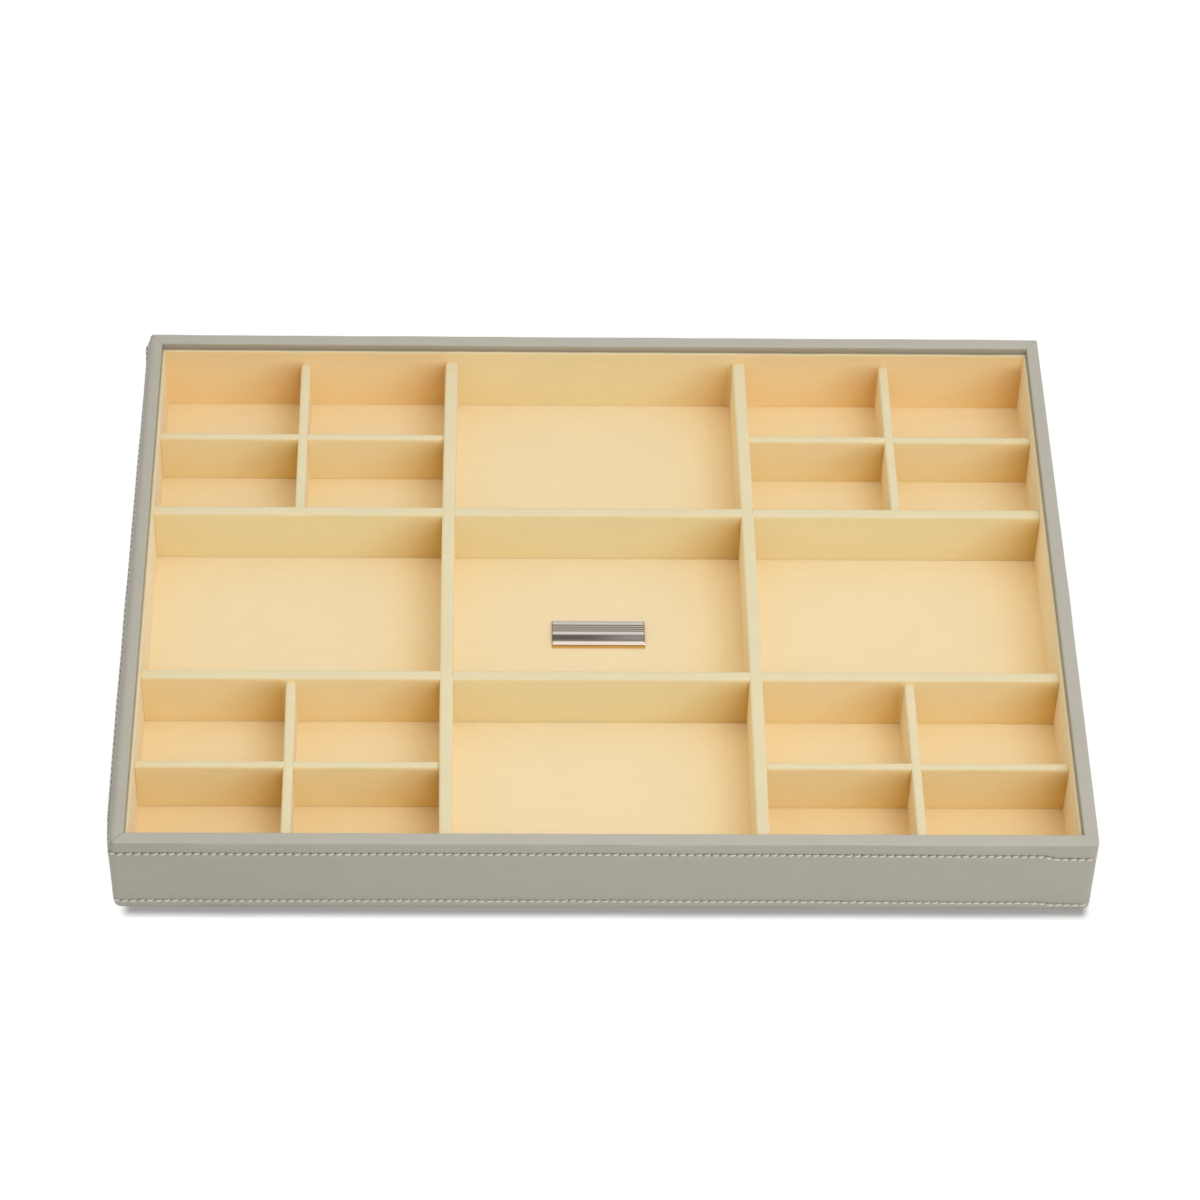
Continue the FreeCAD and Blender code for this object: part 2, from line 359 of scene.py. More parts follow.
def suede_finish(name, side, painted_bounce, shade_colour):
    """Brushed suede: a nap that lies this way and that in soft patches, over a fine fibre noise.

    Its side tone is changed by four attributes, which paint light and shade into it: fold, the rounded top
    edge, in the tone a top has under the light from above; a warm tone for the bounce light in corners and
    on shaded sides; shade, painted shade at the right end of a cell; and a darkening, painted shade near a
    corner, a rim or a foot.
    """
    material, shader, wire = finish(name, Roughness=0.95, Specular_IOR_Level=0.05)
    place = place_of(wire)
    patches = noise(wire, place, 22 * mm, detail=4.0, roughness=0.6)
    brushed = noise(wire, place_of(wire, (0.2, 1.0, 1.0)), 2.5 * mm)
    fibres = noise(wire, place, 0.25 * mm, detail=2.0)
    tone = blend(stored(wire, "painted_bounce"), colour(*side), colour(*painted_bounce))
    tone = blend(stored(wire, "shade"), tone, colour(*shade_colour))
    tone = blend(stored(wire, "fold"), tone, suede_fold)
    worn = patches * 0.4 + brushed * 0.35 + fibres * 0.25
    brightness = 0.94 + 0.12 * worn - stored(wire, "painted_darkening")
    tone = tone.node("ShaderNodeHueSaturation", None, {"Color": tone, "Value": brightness})
    feed(tone, shader, "Base Color")
    feed(0.88 + 0.12 * fibres, shader, "Roughness")
    bump(wire, shader, fibres * 0.7 + brushed * 0.3, 0.08 * mm, 0.5)
    return material


def felt_finish():
    """Pressed felt: short fibres in all directions, in a warm grey."""
    material, shader, wire = finish("felt", Roughness=1.0, Specular_IOR_Level=0.1, Sheen_Weight=0.3)
    fibres = noise(wire, place_of(wire, (1.0, 0.25, 1.0)), 0.3 * mm, detail=4.0)
    crossed = noise(wire, place_of(wire, (0.25, 1.0, 1.0)), 0.3 * mm, detail=4.0)
    clumps = noise(wire, place_of(wire), 5 * mm)
    share = fibres * 0.4 + crossed * 0.4 + clumps * 0.2
    feed(blend(share, colour(92, 86, 78), colour(142, 134, 122)), shader, "Base Color")
    bump(wire, shader, fibres + crossed, 0.15 * mm, 0.6)
    return material


# %% Boards, brads and plate
def board_finish(name, dark, light, fibre, stretch):
    """Pressed board: flecks of pulp, drawn out one way, over soft clouds."""
    material, shader, wire = finish(name, Roughness=0.85)
    flecks = noise(wire, place_of(wire, stretch), fibre, detail=4.0, roughness=0.7)
    clouds = noise(wire, place_of(wire), 12 * mm)
    feed(blend(flecks * 0.7 + clouds * 0.3, colour(*dark), colour(*light)), shader, "Base Color")
    bump(wire, shader, flecks, 0.05 * mm, 0.4)
    return material


def steel_finish():
    """Drawn steel wire with fine lengthwise lines."""
    material, shader, wire = finish("brad_steel", Metallic=1.0)
    lines = noise(wire, place_of(wire, (1.0, 0.05, 1.0)), 0.1 * mm)
    feed(blend(lines, colour(150, 150, 148), colour(186, 185, 182)), shader, "Base Color")
    feed(0.28 + 0.2 * lines, shader, "Roughness")
    return material


def plate_finish():
    """Polished nickel with painted reflection from an attribute: how bright it looks, from the dark
    reflection in the hollow band to the highlight on the front edge.
    """
    material, shader, wire = finish("plate_metal", Metallic=1.0)
    lines = noise(wire, place_of(wire, (0.03, 1.0, 1.0)), 0.25 * mm)
    tone = blend(stored(wire, "painted_shine"), colour(60, 49, 42), colour(255, 249, 240))
    feed(blend(lines * 0.3, tone, colour(152, 141, 130)), shader, "Base Color")
    feed(0.12 + 0.14 * lines, shader, "Roughness")
    return material


leather = leather_finish()
thread = thread_finish()
# Four copies of one suede with tones tuned to how their faces are lit, which is painted light: a side tone,
# a warm tone for painted bounce light and a tone for painted shade.
suede_wall = suede_finish("suede_wall", (241, 223, 176), (255, 226, 173), (228, 172, 82))
suede_divider = suede_finish("suede_divider", (242, 225, 178), (255, 228, 176), (228, 182, 91))
suede_side = suede_finish("suede_side", (252, 238, 212), (255, 234, 188), (212, 159, 80))
suede_floor = suede_finish("suede_floor", (250, 231, 189), (255, 230, 178), (212, 159, 80))
felt = felt_finish()
fibreboard = board_finish("fibreboard", (120, 88, 58), (172, 136, 98), 0.6 * mm, (0.3, 0.3, 1.0))
greyboard = board_finish("greyboard", (120, 117, 110), (166, 162, 154), 0.4 * mm, (0.4, 0.4, 1.0))
steel = steel_finish()
plate_metal = plate_finish()
print("finishes:", len(bpy.data.materials))

# %% [markdown]
# ## Surfaces from numbers
# A swept surface is a grid of points: one row for each point of a profile, one column for each station
# along the path. The faces are the little squares between neighbours, numbered in one go. A row or column
# that closes on itself needs one more strip of squares, from the last line back to the first.

# %% Mesh helpers
def grid_faces(rows, columns, close_rows=False, close_columns=False):
    """Squares of a grid whose point (row, column) has the number row * columns + column."""
    row = np.arange(rows if close_rows else rows - 1)[:, None]
    column = np.arange(columns if close_columns else columns - 1)[None, :]
    next_row, next_column = (row + 1) % rows, (column + 1) % columns
    corners = [row * columns + column, row * columns + next_column,
               next_row * columns + next_column, next_row * columns + column]
    return np.stack(np.broadcast_arrays(*corners), axis=-1).reshape(-1, 4)


def put_mesh(name, points, faces):
    """A mesh from an array of points and a list of face arrays, each of one number of corners."""
    mesh = bpy.data.meshes.new(name)
    corners = np.concatenate([part.ravel() for part in faces]).astype(np.int32)
    sizes = np.concatenate([np.full(len(part), part.shape[1]) for part in faces])
    starts = (np.cumsum(sizes) - sizes).astype(np.int32)
    mesh.vertices.add(len(points))
    mesh.vertices.foreach_set("co", np.ascontiguousarray(points, np.float32).ravel())
    mesh.loops.add(len(corners))
    mesh.loops.foreach_set("vertex_index", corners)
    mesh.polygons.add(len(starts))
    mesh.polygons.foreach_set("loop_start", starts)
    mesh.polygons.foreach_set("use_smooth", np.ones(len(starts), bool))
    mesh.update(calc_edges=True)
    mesh.validate()
    return mesh


def put_piece(name, mesh, material, replaced):
    """Shows a mesh as a piece that rides with the tray and stands for the named nodes."""
    piece = bpy.data.objects.new(name, mesh)
    scene.collection.objects.link(piece)
    mesh.materials.append(material)
    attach(piece, "root")
    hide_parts(*replaced)
    return piece


def put_values(mesh, name, values):
    """Stores one number for each point, for a shader to read."""
    attribute = mesh.attributes.new(name, "FLOAT", "POINT")
    attribute.data.foreach_set("value", np.asarray(values, np.float32).ravel())


def ripple(t, cycles, seed):
    """A smooth wander between about -1 and 1: a sum of sine waves at random phases.

    Each wave has its own number of cycles over t = 0 to 1.
    """
    phases = np.random.default_rng(seed).uniform(0, 2 * np.pi, len(cycles))
    waves = [np.sin(2 * np.pi * cycle * t + phase) for cycle, phase in zip(cycles, phases)]
    return sum(waves) / math.sqrt(len(cycles))


def bell(distance, width):
    """1 at distance 0, falling away smoothly over a width."""
    return np.exp(-(distance / width) ** 2)


def ease(value, none, all_of_it):
    """0 at one value, 1 at another, and a smooth step between them."""
    share = np.clip((value - none) / (all_of_it - none), 0, 1)
    return share ** 2 * (3 - 2 * share)


def arc(centre_a, centre_b, radius, first, last, count):
    """Points of a circle in a plane, from one angle to another, in degrees."""
    angle = np.radians(np.linspace(first, last, count))
    return np.stack([centre_a + radius * np.cos(angle), centre_b + radius * np.sin(angle)], axis=-1)


# %% [markdown]
# ## Leather covering
# On the real tray one strip of coated leather goes under the case, up the outside, over the rim and down
# behind the lining. It is stitched in two rows, and the thread draws it into a groove with a dimple at each
# needle hole. A box with bevels and a bump map would be quick, but its edges and stitches would look
# printed. So a profile, the strip's section, is carried round the outline of the case, and the grooves,
# dimples and slack are added to the points themselves.

# %% Outline of the case
corner_radius = 2.6 * mm
back_right_radius = 0.8 * mm    # the covering is drawn tight round the back corners
back_left_radius = 1.3 * mm
least_radius = 0.12 * mm        # corners inside the strip stay this round
half_length, half_depth = cover_high.x, cover_high.y
reach = np.array([half_length, half_depth]) - corner_radius
arc_length = math.pi / 2 * corner_radius
run_lengths = np.array([2 * reach[0], arc_length, 2 * reach[1], arc_length] * 2)
run_ends = np.cumsum(run_lengths)
outline_length = run_ends[-1]
corner_radii = np.repeat([corner_radius, back_right_radius, back_left_radius, corner_radius], 2)
case_corners = np.array([(-1, -1), (1, -1), (1, 1), (-1, 1), (-1, -1)], float)


def outline(station):
    """Where stations along the outline lie, counter-clockwise from the front left, in metres.

    Each place is a point between the centres of two corners, given as shares of their distance from the
    middle, and an outward direction, which turns by a quarter at each corner.
    """
    station = np.mod(station, outline_length)
    run = np.minimum(np.searchsorted(run_ends, station, side="right"), len(run_ends) - 1)
    share = (station - (run_ends - run_lengths)[run]) / run_lengths[run]
    side, on_corner = run // 2, run % 2
    angle = np.pi / 2 * (side + share * on_corner - 1)
    along = np.where(on_corner == 1, 1.0, share)[..., None]
    centre = case_corners[side] * (1 - along) + case_corners[side + 1] * along
    return centre, np.stack([np.cos(angle), np.sin(angle)], axis=-1)


def on_case(station, inset, height):
    """Points at an inset from the outside face: the corner's centre plus its direction times its radius."""
    centre, outward = outline(station)
    radius = np.interp(station, run_ends, corner_radii, period=outline_length)
    radius = np.maximum(radius - inset, least_radius)[..., None]
    sides = np.array([half_length, half_depth])
    plan = centre * (sides - inset[..., None] - radius) + outward * radius
    return np.concatenate([plan, height[..., None]], axis=-1), outward


print("outline:", round(outline_length / mm, 1), "mm round")

# %% Stitch rows
wanted_pitch = 2.92 * mm        # from needle hole to needle hole
row_drift = 0.08 * mm           # how far a row wanders slowly up and down
level_sag = 0.15 * mm           # how far it hangs below its solid,
right_sag = 0.80 * mm           # how much further at the front right corner
left_sag = 0.50 * mm            # and at the front left one
sag_power = 1.5
dip_depths = np.array([0.75, 1.25]) * mm        # of the lower and the upper row
dip_start = (-17 * mm, -11 * mm)        # where the dip begins before the corner, and is full
dip_end = (24 * mm, 10 * mm)            # where it ends past the corner, and is still full

stitch_count = round(outline_length / wanted_pitch)
stitch_pitch = outline_length / stitch_count
front_right_corner = run_ends[0]
stitch_rows = {name: sum(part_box(name)[end].z for end in (0, 1)) / 2
               for name in ("upper_stitching", "lower_stitching")}
upper_row, lower_row = stitch_rows.values()


def row_wander(station, height):
    """How far a row strays from level.

    It is a slow drift, less a sag that grows towards the two front corners as a power of the nearness, and
    less a dip round the right one, where sewing began and ended.
    """
    drift = ripple(station / outline_length, (5, 11, 17, 29), seed=3)
    past_right = station - front_right_corner
    past_left = np.minimum(station, outline_length - station)
    sag = level_sag
    for most, past in ((right_sag, past_right), (left_sag, past_left)):
        sag = sag + most * np.clip(1 - np.abs(past) / half_length, 0, 1) ** sag_power
    dip = ease(past_right, *dip_start) * ease(past_right, *dip_end)
    dip_depth = np.interp(height, (lower_row, upper_row), dip_depths)
    return row_drift * drift - sag - dip_depth * dip


print("stitches:", stitch_count, "a row, pitch", round(stitch_pitch / mm, 3), "mm")

# %% Slack of the sides
slack_levels = np.array([0.0, 3.0, 28.4, 29.0, 31.0, 35.0]) * mm + cover_low.z
slack_at_level = np.array([0.1, 0.9, 1.8, 1.8, 0.95, -0.2]) * mm
slack_depths = np.array([-1.0, -0.94, -0.86, -0.3, 0.5, 0.64, 0.8, 0.92, 1.0]) * half_depth
slack_share = np.array([0.3, 0.75, 1.08, 1.08, 0.88, 0.76, 0.68, 0.78, 1.2])
slack_inset = 3.6 * mm          # past this far from the face there is none
slack_near = (14 * mm, 3 * mm)  # how far from a side it begins, and is full
back_right_draw = 0.5 * mm
rim_droop = 0.42 * mm
droop_width = 4.6 * mm
droop_before_back = 10 * mm


def side_slack(place, inset):
    """How far the covering is shifted along X where it isn't tight on the side walls.

    It stands off the left wall, most at the upper row, where it slopes out from under the rim, and least at
    the front corner: a height's slack times a depth's share. At the back right it is drawn in.
    """
    stand = np.interp(place[..., 2], slack_levels, slack_at_level)
    stand = stand * np.interp(place[..., 1], slack_depths, slack_share)
    drawn = back_right_draw * np.clip(place[..., 1] / half_depth, 0, 1)
    on_face = np.clip(1 - inset / slack_inset, 0, 1)
    near_side = ease(half_length - np.abs(place[..., 0]), *slack_near)
    return -np.where(place[..., 0] < 0, stand, drawn) * on_face * near_side


def left_droop(place):
    """How far the rim on the left sinks: the square of the nearness to its outer edge."""
    from_left = place[..., 0] + half_length
    before_back = ease(place[..., 1], half_depth, half_depth - droop_before_back)
    return rim_droop * np.clip(1 - from_left / droop_width, 0, 1) ** 2 * before_back


print("left side: slack up to", round(slack_at_level.max() * slack_share.max() / mm, 2), "mm")

# %% Profile of the covering
pocket_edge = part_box("back_lining_card")[1].y
rim_width = half_depth - pocket_edge
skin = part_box("front_board")[0].y - cover_low.y
turn_in = half_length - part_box("base_filler")[1].x
base_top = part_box("base_board")[1].z
foot_radius = 0.9 * mm
rim_radius = 0.65 * mm
rim_inner_radius = 0.65 * mm
rim_top, foot = cover_high.z, cover_low.z

row_offsets = np.array([-1.7, -1.1, -0.7, -0.35, 0.0, 0.3, 0.6, 0.95, 1.5]) * mm
plain_face = np.linspace(lower_row + 4 * mm, upper_row - 4 * mm, 6)
face_heights = np.concatenate([lower_row + row_offsets, plain_face, upper_row + row_offsets,
                               [rim_top - 3 * mm]])
rim_shares = (0.28, 0.40, 0.52, 0.64, 0.76)
pocket_depths = np.array([2.2, 3.4, 6.0]) * mm
outside = np.concatenate([
    [(turn_in, foot), (turn_in / 2, foot)],
    arc(foot_radius, foot + foot_radius, foot_radius, -90, -180, 6),
    np.stack([np.zeros_like(face_heights), face_heights], axis=-1),
    arc(rim_radius, rim_top - rim_radius, rim_radius, 180, 90, 7),
    [(share * rim_width, rim_top) for share in rim_shares],
    arc(rim_width - rim_inner_radius, rim_top - rim_inner_radius, rim_inner_radius, 90, 0, 5),
    [(rim_width, rim_top - depth) for depth in pocket_depths],
    [(rim_width, base_top)]])
inside = np.array([
    (rim_width - skin, base_top), (rim_width - skin, rim_top - rim_inner_radius),
    (rim_width - rim_inner_radius, rim_top - skin), (rim_radius, rim_top - skin),
    (skin, rim_top - rim_radius), (skin, foot + foot_radius),
    (foot_radius, foot + skin), (turn_in, foot + skin)])
profile = np.concatenate([outside, inside])
print("profile:", len(profile), "points")

# %% Stations round the case
columns_per_stitch = 3
beside_corner = 0.35 * mm
least_column = 0.06 * mm        # columns that are closer than this are one
corner_columns = np.concatenate([np.linspace(0, arc_length, 9),
                                 [-beside_corner, arc_length + beside_corner]])
corner_starts = run_ends[0::2]
stations = np.concatenate([np.arange(stitch_count * columns_per_stitch) * stitch_pitch / columns_per_stitch,
                           (corner_starts[:, None] + corner_columns).ravel()])
stations = np.sort(np.mod(stations, outline_length))
stations = stations[np.diff(stations, append=outline_length) > least_column]

hair = 0.01 * mm                # less than any step of the profile
station_grid, inset_grid = np.meshgrid(stations, profile[:, 0])
height_grid = np.repeat(profile[:, 1:], len(stations), axis=1)
shown = (np.arange(len(profile)) < len(outside))[:, None]
on_face = shown & (inset_grid < hair)
on_rim = shown & (height_grid > rim_top - rim_radius - hair)
behind_rim = shown & (inset_grid > rim_width - hair)
print("columns:", len(stations))

# %% Grooves and needle holes
groove_depth, groove_width, groove_above = 0.30 * mm, 0.5 * mm, 0.3 * mm        # above the row's middle
hole_depth, hole_height, hole_above = 0.45 * mm, 0.6 * mm, 0.15 * mm
hole_length = 0.7 * mm
puff_height, puff_width, puff_away = 0.08 * mm, 0.9 * mm, 1.7 * mm      # the covering swells beside a row
# The dark line over the thread and the dark needle holes are painted shade, where a groove and a hole would
# be in shadow.
line_width, line_above = 0.4 * mm, 0.45 * mm    # the dark line over the thread
line_dark, hole_dark = 0.28, 0.85
row_dark = {"upper_stitching": 1.0, "lower_stitching": 0.55}     # how much of that a row shows

stitch_phase = (station_grid / stitch_pitch) % 1
hole_distance = np.minimum(stitch_phase, 1 - stitch_phase) * stitch_pitch
sunk = np.zeros_like(height_grid)
painted_shade = np.zeros_like(height_grid)
for name, row_height in stitch_rows.items():
    above = height_grid - row_height
    groove = bell(above - groove_above, groove_width)
    hole = bell(above - hole_above, hole_height) * bell(hole_distance, hole_length)
    puff = bell(np.abs(above) - puff_away, puff_width)
    line = bell(above - line_above, line_width) * (1 - stitch_phase)
    sunk += groove_depth * groove + hole_depth * hole - puff_height * puff
    painted_shade += row_dark[name] * (line_dark * line + hole_dark * hole)
sunk = np.where(on_face, sunk, 0)
painted_shade = np.where(on_face, painted_shade, 0)
print("grooves: up to", round(sunk.max() / mm, 2), "mm deep")

# %% Waver of the covering
face_waver = 0.07 * mm
rim_waver = 0.05 * mm
streak_height, streak_width = 0.035 * mm, 1.3 * mm      # lengthwise ridges on the rim
row_pull = 3.5 * mm             # how far a wandering row takes the covering with it

lap = station_grid / outline_length
slack = face_waver * ripple(lap, (9, 14, 23, 31), seed=5) * on_face
follow = sum(bell(height_grid - row_height, row_pull) for row_height in stitch_rows.values())
above_foot = (height_grid - foot - foot_radius) / (lower_row - foot - foot_radius)
follow = np.minimum(follow, np.clip(above_foot, 0, 1))
lifted = np.where(on_face, row_wander(station_grid, height_grid) * follow, 0)
streaks = np.sin(2 * np.pi * inset_grid / streak_width + 3 * ripple(lap, (7, 13, 19), seed=8))
rim_lift = streak_height * streaks + rim_waver * ripple(lap, (12, 27, 38), seed=9)
lifted += np.where(on_rim, rim_lift, 0)
print("rows stray by", round(np.abs(lifted).max() / mm, 2), "mm at most")

# %% Mitres and painted shade
mitre_depth = np.array([[0.16, 0.03], [0.10, 0.05]]) * mm       # front, then back, left and right of each
mitre_width = 0.35 * mm
mitre_reach = 9 * mm
# Painted shade darkens the mitres, the slack left side above its upper row and along it, the left half of
# the front and rim, the rim's right end, and the pocket behind the rim.
mitre_dark = 1.6 / mm           # for its depth
left_edge_dark, left_edge_width = 0.24, 2.6 * mm        # on the slack left side, above its upper row
left_line_dark, left_line_width, left_line_above = 0.6, 0.8 * mm, 0.5 * mm      # along that row
left_row_start, left_row_full = -0.3 * mm, 0.5 * mm     # above that row's middle, where the edge darkens
left_half_dark = 0.07           # at the left end, growing from the middle
right_rim_dark = 0.035
facing_side = 0.9               # how much of an outward direction a face needs to lie on one side
pocket_dark, pocket_deep_dark, pocket_deep = 0.10, 0.45, 3.3 * mm       # behind the rim, and what depth adds

points, outward = on_case(station_grid, inset_grid, height_grid)
from_left, from_right = half_length + points[..., 0], half_length - points[..., 0]
from_side = half_length - np.abs(points[..., 0])
from_end = half_depth - np.abs(points[..., 1])
at_corner = (from_side < mitre_reach) & (from_end < mitre_reach)
corner_depth = mitre_depth[(points[..., 1] > 0).astype(int), (points[..., 0] > 0).astype(int)]
mitre = np.where(at_corner & on_rim, bell(from_side - from_end, mitre_width), 0) * corner_depth
lifted -= mitre
painted_shade += mitre_dark * mitre

above_row = height_grid - upper_row
left_edge = ease(from_left, left_edge_width, 0) * ease(above_row, left_row_start, left_row_full)
painted_shade += np.where(shown, left_edge_dark * left_edge, 0)
on_left = on_face & (outward[..., 0] < -facing_side)
left_line = bell(above_row - left_line_above, left_line_width) * (1 - stitch_phase)
painted_shade += np.where(on_left, left_line_dark * left_line, 0)
painted_shade += np.where(on_face | on_rim, left_half_dark * ease(points[..., 0], 0, -half_length), 0)
painted_shade += np.where(on_rim, right_rim_dark * ease(from_right, 2 * rim_width, rim_width), 0)
pocket = np.clip((rim_top - height_grid) / pocket_deep, 0, 1)
painted_shade += np.where(behind_rim, pocket_dark + pocket_deep_dark * pocket, 0)
print("mitres: up to", round(mitre.max() / mm, 2), "mm deep")

# %% Covering
skin_left = 0.08 * mm           # a groove or hole never reaches the board behind the skin
deepest = skin - skin_left
shift = np.where(shown, side_slack(points, inset_grid), 0)
drawn_in = np.where(points[..., 0] > 0, -shift, 0)
points[..., :2] += outward * np.maximum(slack - sunk, drawn_in - deepest)[..., None]
points[..., 2] += lifted - np.where(on_rim, left_droop(points), 0)
points[..., 0] += shift
cover_mesh = put_mesh("leather_covering", points.reshape(-1, 3),
                      [grid_faces(len(profile), len(stations), close_rows=True, close_columns=True)])
put_values(cover_mesh, "painted_shade", np.clip(painted_shade, 0, 1))
put_piece("leather_covering", cover_mesh, leather, ["case_cover"])
print("covering:", len(cover_mesh.polygons), "faces")

# %% [markdown]
# ## Stitches
# Each stitch is a short length of thread that comes out of one needle hole, lies slightly aslant and goes
# into the next. A dashed texture would lie flat. Here every stitch is a small tube: a middle line that bows
# out of the face, and rings of six points round it. All the stitches of a row are worked out as one array.

# %% Stitches
thread_radius = 0.34 * mm
stitch_share = 0.40             # half a stitch's length, as a share of the pitch
share_spread = (0.94, 1.04)     # the least and the most of it that a stitch has
stitch_slant = 0.30 * mm        # rise of each half
slant_spread = (0.6, 1.4)
level_spread = 0.07 * mm
stitch_bow = 0.42 * mm
thread_taper = 0.75             # how much of its section's area the thread loses towards a hole
stitch_sink = 0.40 * mm
left_sink = 0.22 * mm           # the thread lies deeper where the covering stands off
worn_sink = {"upper_stitching": 0.05 * mm, "lower_stitching": 0.15 * mm}     # and deeper at the front left
ring_count, ring_points = 7, 6


def stitch_row(name, row_height, worn, seed):
    """A row of stitches. Along a stitch t runs from -1 to 1: the middle line bows out by 1 - t squared."""
    random = np.random.default_rng(seed)
    t = np.linspace(-1, 1, ring_count)[None, :]
    length = stitch_share * stitch_pitch * random.uniform(*share_spread, (stitch_count, 1))
    slant = stitch_slant * random.uniform(*slant_spread, (stitch_count, 1))
    level = row_height + random.normal(0, level_spread, (stitch_count, 1))
    station = (np.arange(stitch_count)[:, None] + 0.5) * stitch_pitch + t * length
    height = level + t * slant + row_wander(station, level)
    middle, outward = on_case(station, np.zeros_like(station), height)
    middle[..., 0] += side_slack(middle, np.zeros_like(station))
    outward = np.concatenate([outward, np.zeros_like(station)[..., None]], axis=-1)
    sink = stitch_sink + np.where(middle[..., 0] < -half_length, left_sink, 0)
    sink += worn * ease(middle[..., 0], 0, -half_length) * (outward[..., 1] < -facing_side)
    middle += outward * ((1 - t ** 2) * stitch_bow - sink)[..., None]
    radius = thread_radius * np.sqrt(1.02 - t ** 2 * thread_taper)
    around = np.linspace(0, 2 * np.pi, ring_points, endpoint=False)
    ring = (np.cos(around)[:, None] * outward[..., None, :]
            + np.sin(around)[:, None] * np.array([0.0, 0.0, 1.0]))
    points = middle[..., None, :] + ring * np.broadcast_to(radius, station.shape)[..., None, None]
    first = np.arange(stitch_count)[:, None] * ring_count * ring_points
    sides = (first[..., None] + grid_faces(ring_count, ring_points, close_columns=True)).reshape(-1, 4)
    start_cap = first + np.arange(ring_points)
    end_cap = first + (ring_count - 1) * ring_points + np.arange(ring_points)[::-1]
    mesh = put_mesh(name, points.reshape(-1, 3), [sides[:, ::-1], start_cap, end_cap])
    put_piece(name, mesh, thread, [name.replace("_stitches", "_stitching")])
    return len(mesh.polygons)


for seed, (name, row_height) in enumerate(stitch_rows.items()):
    count = stitch_row(name.replace("_stitching", "_stitches"), row_height, worn_sink[name], seed)
    print(name, count, "faces")

# %% [markdown]
# ## Suede
# The floor, the four wall linings and the twelve dividers wear the same thin suede, glued to card. A sheet
# is first a surface without thickness, worked out as a grid, and a Solidify modifier then gives it its
# 0.4 mm towards the card. Suede is soft, so the folds are round, and the surface wavers a little, as glued
# cloth does.

# %% Suede sheets
suede_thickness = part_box("floor_suede")[1].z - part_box("floor_suede")[0].z
floor_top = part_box("floor_suede")[1].z
close_line = 0.05 * mm


def edged(low, high, count):
    """Even places, with one more close to each end, so that a face is shaded evenly up to its edge."""
    return np.concatenate([[low], np.linspace(low + close_line, high - close_line, count), [high]])


def put_suede(name, points, material, tones, keep=None, turned=False):
    """A grid of points as a sheet with its visible side outwards, and the tones that its finish reads.

    The faces that keep leaves out are slots. A turned sheet takes its columns from the last to the first.
    """
    rows, columns = points.shape[:2]
    order = slice(None, None, -1 if turned else 1)
    faces = grid_faces(rows, columns)
    if keep is not None:
        faces = faces[keep[:, order].ravel()]
    used, faces = np.unique(faces, return_inverse=True)
    mesh = put_mesh(name + "_sheet", points[:, order].reshape(-1, 3)[used], [faces.reshape(-1, 4)])
    for tone, values in tones.items():
        put_values(mesh, tone, np.broadcast_to(values, (rows, columns))[:, order].ravel()[used])
    piece = put_piece(name + "_sheet", mesh, material, [name])
    solid = piece.modifiers.new("thickness", "SOLIDIFY")
    solid.thickness = suede_thickness
    solid.offset = -1
    return piece


def swept(section, length):
    """The two coordinates of a section's points, each as a grid with a column for each place along it."""
    return (np.repeat(section[:, i:i + 1], len(length), axis=1) for i in (0, 1))


def laid(axis, length, across, up):
    """A grid of points with its length along X or Y, which are the axes 0 and 1."""
    points = np.empty(up.shape + (3,))
    points[..., axis] = length
    points[..., 1 - axis] = across
    points[..., 2] = up
    return points


print("suede:", round(suede_thickness / mm, 2), "mm thick")

# %% Cells
def middle_of(name, axis):
    """The middle of a node's box along an axis."""
    low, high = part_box(name)
    return (low[axis] + high[axis]) / 2


main_x = middle_of("right_long_divider_wrap", 0)
main_y = middle_of("back_cross_divider_wrap", 1)
divider_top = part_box("back_cross_divider_wrap")[1].z
thin_x = middle_of("back_right_thin_long_wrap", 0)
front_thin_y = middle_of("front_left_thin_cross_wrap", 1)
back_thin_y = middle_of("back_left_thin_cross_wrap", 1)
inside_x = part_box("right_lining_suede")[0].x
inside_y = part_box("back_lining_suede")[0].y
main_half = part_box("right_long_divider_wrap")[1].x - main_x
thin_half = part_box("back_right_thin_long_wrap")[1].x - thin_x
middle_row_walls = np.array([-main_x - main_half, main_x - main_half, inside_x])
outer_row_walls = np.sort(np.append(middle_row_walls, [-thin_x - thin_half, thin_x - thin_half]))
main_row_walls = np.array([-main_y - main_half, main_y - main_half, inside_y])
corner_row_walls = np.sort(np.append(main_row_walls, [front_thin_y - thin_half, back_thin_y - thin_half]))
# Painted shade at the right end of each cell: its width at a wall's top, what it gains to the foot, and how
# it sets in.
shade_width, shade_spread = 16 * mm, 30 * mm    # at a wall's top, and what it gains down to the foot
shade_power = 1.7
shade_start_power = 8           # how fast it sets in below the top
shade_foot_loss = 0.15


def near_next(place, walls, width):
    """1 at the next wall to the right or the back, falling to 0 at a width from it."""
    following = walls[np.minimum(np.searchsorted(walls, place), len(walls) - 1)]
    return np.clip(1 - (following - place) / width, 0, 1)


def wall_shade(x, walls, height_share, most):
    """The painted shade on a wall: most at the right end of a cell, none at a divider's top.

    Down the wall it grows fast at first, and it fades a little towards the foot.
    """
    depth = np.clip(1 - height_share, 0, 1)
    down = 1 - (1 - depth) ** shade_start_power - shade_foot_loss * depth ** 2
    return most * near_next(x, walls, shade_width + shade_spread * depth) ** shade_power * down


print("cells end at", [round(x / mm, 1) for x in outer_row_walls], "mm")

# %% Floor sheet
floor_columns, floor_rows = 113, 83
plate_lines = np.array([-1.8, -1.0, -0.5, 0.0, 0.5]) * mm       # grid lines at the plate's edges
wall_lines = np.array([0.05, 0.4, 0.8, 1.4, 2.4]) * mm          # and in front of the walls
floor_waver = 0.05 * mm
row_end_width, wall_foot_width = 26 * mm, 14 * mm
